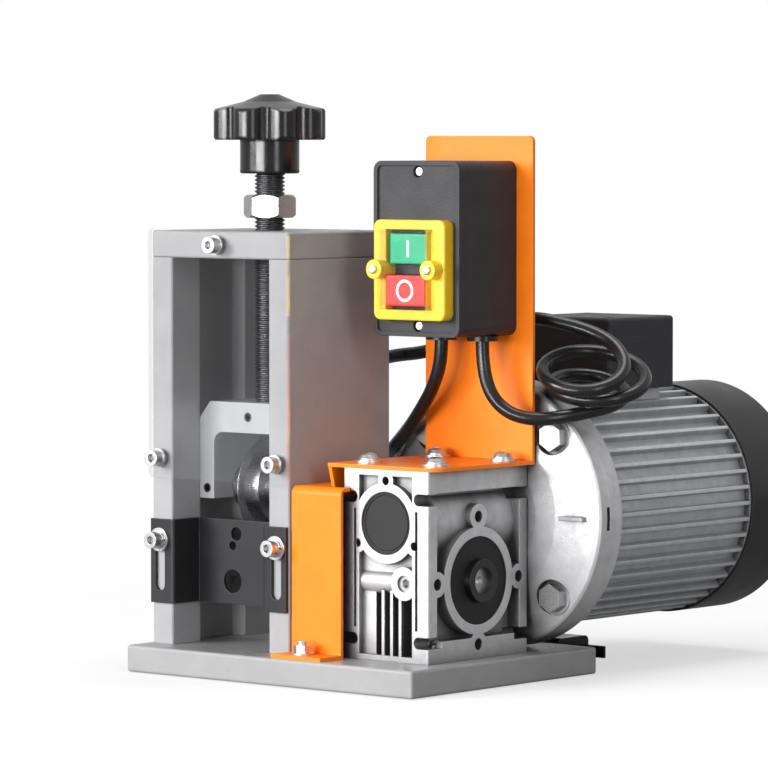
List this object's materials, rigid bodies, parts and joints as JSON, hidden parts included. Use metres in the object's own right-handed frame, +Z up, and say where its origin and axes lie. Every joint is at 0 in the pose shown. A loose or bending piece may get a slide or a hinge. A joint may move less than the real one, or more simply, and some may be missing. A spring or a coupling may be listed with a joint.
{
  "type": "wire stripping machine",
  "caption": "Motor driven bench wire stripper: a knob lowers a free round blade towards a knurled feed roller behind a clear shield and a wire guide.",
  "frame": {"origin": "middle of the base plate's flat underside, where it meets the bench", "axes": "+X along the front edge with the cutting head on the left and the gearbox on the right, +Y to the back towards the motor, +Z up"},
  "size_m": [0.2345, 0.301, 0.3008],
  "materials": {
    "base_paint": "gloss mid grey enamel",
    "head_paint": "fine light grey powder coat",
    "block_paint": "smooth light grey paint",
    "orange_paint": "gloss orange paint on sheet steel",
    "black_paint": "satin black paint",
    "black_steel": "blackened steel",
    "bright_steel": "bright zinc plated steel",
    "dark_thread": "oiled dark steel thread",
    "blade_steel": "ground tool steel",
    "core_iron": "laminated core iron",
    "wheel_bronze": "machined bronze",
    "cast_aluminium": "blasted cast aluminium",
    "motor_aluminium": "painted silver cast aluminium",
    "seal_rubber": "smooth black rubber",
    "cord_rubber": "satin black flexible sheath",
    "black_plastic": "fine grained black moulding",
    "knob_plastic": "glossy black phenolic",
    "yellow_plastic": "glossy yellow moulding",
    "green_plastic": "glossy green moulding",
    "red_plastic": "glossy red moulding",
    "clear_sheet": "clear polished acrylic sheet",
    "clear_film": "clear flexible moulding"
  },
  "bodies": {
    "frame": {"base_plate": "base_paint", "left_side_plate": "head_paint", "right_side_plate": "head_paint", "top_plate": "head_paint", "head_screws": "black_steel", "shield": "clear_sheet", "shield_screws": "bright_steel", "drive_shaft_bearings": "bright_steel", "feed_guide_bolts": "bright_steel", "gearbox_housing": "cast_aluminium", "gearbox_cover": "cast_aluminium", "gearbox_screws": "black_steel", "gearbox_bearings": "bright_steel", "oil_seals": "seal_rubber", "worm_cap": "seal_rubber", "oil_plug": "bright_steel", "input_flange": "cast_aluminium", "flange_bolts": "bright_steel", "motor_front_shield": "cast_aluminium", "motor_body": "motor_aluminium", "motor_stator": "core_iron", "motor_bearings": "bright_steel", "motor_rear_shield": "cast_aluminium", "fan_cover": "black_paint", "terminal_box": "black_plastic", "terminal_box_lid": "black_plastic", "enclosure_screws": "bright_steel", "control_bracket": "orange_paint", "bracket_bolts": "bright_steel", "shaft_guard": "orange_paint", "guard_bolt": "bright_steel", "switch_box": "black_plastic", "switch_box_lid": "black_plastic", "switch_frame": "yellow_plastic", "switch_module": "black_plastic", "button_cover": "clear_film", "cable_glands": "cord_rubber", "motor_lead": "cord_rubber", "power_cord": "cord_rubber", "power_cord_coil": "cord_rubber", "power_cord_tail": "cord_rubber", "power_plug": "cord_rubber"},
    "blade_carriage": {"blade_block": "block_paint", "block_set_screws": "black_steel", "blade_axle": "bright_steel"},
    "blade_wheel": {"blade": "blade_steel", "blade_bearings": "bright_steel"},
    "adjusting_screw": {"adjusting_rod": "dark_thread", "adjusting_knob": "knob_plastic"},
    "screw_lock": {"lock_nut": "bright_steel"},
    "wire_guide": {"feed_guide": "black_paint"},
    "output": {"drive_shaft": "bright_steel", "feed_roller": "blade_steel", "output_sleeve": "black_steel", "worm_wheel": "wheel_bronze"},
    "motor_drive": {"worm_shaft": "bright_steel", "motor_rotor": "core_iron", "cooling_fan": "black_plastic"},
    "start_button": {"green_button": "green_plastic"},
    "stop_button": {"red_button": "red_plastic"}
  },
  "joints": [
    {"name": "carriage_slide", "type": "slide", "parent": "frame", "child": "blade_carriage", "axis": [0, 0, 1], "range_m": [-0.0008, 0.074]},
    {"name": "screw_turn", "type": "hinge", "parent": "blade_carriage", "child": "adjusting_screw", "pos_m": [-0.0465, -0.0189, 0.2], "axis": [0, 0, 1], "range_deg": [-144, 13320]},
    {"name": "lock_nut_travel", "type": "slide", "parent": "adjusting_screw", "child": "screw_lock", "axis": [0, 0, 1], "range_m": [-0.0054, 0.008]},
    {"name": "blade_spin", "type": "hinge", "parent": "blade_carriage", "child": "blade_wheel", "pos_m": [-0.0545, -0.009, 0.095], "axis": [1, 0, 0], "continuous": true},
    {"name": "motor_spin", "type": "hinge", "parent": "frame", "child": "motor_drive", "pos_m": [0.058, 0.05, 0.084], "axis": [0, 1, 0], "continuous": true},
    {"name": "output_spin", "type": "hinge", "parent": "frame", "child": "output", "pos_m": [0, -0.009, 0.054], "axis": [1, 0, 0], "continuous": true},
    {"name": "guide_slide", "type": "slide", "parent": "frame", "child": "wire_guide", "axis": [0, 0, 1], "range_m": [0, 0.021]},
    {"name": "start_press", "type": "slide", "parent": "frame", "child": "start_button", "axis": [0, 1, 0], "range_m": [0, 0.004], "stiffness_N_per_m": 600},
    {"name": "stop_press", "type": "slide", "parent": "frame", "child": "stop_button", "axis": [0, 1, 0], "range_m": [0, 0.004], "stiffness_N_per_m": 600}
  ],
  "couplings": [
    {"joint": "carriage_slide", "follows": "screw_turn", "m_per_rad": 0.00031831},
    {"joint": "output_spin", "follows": "motor_spin", "ratio": 0.033333}
  ]
}
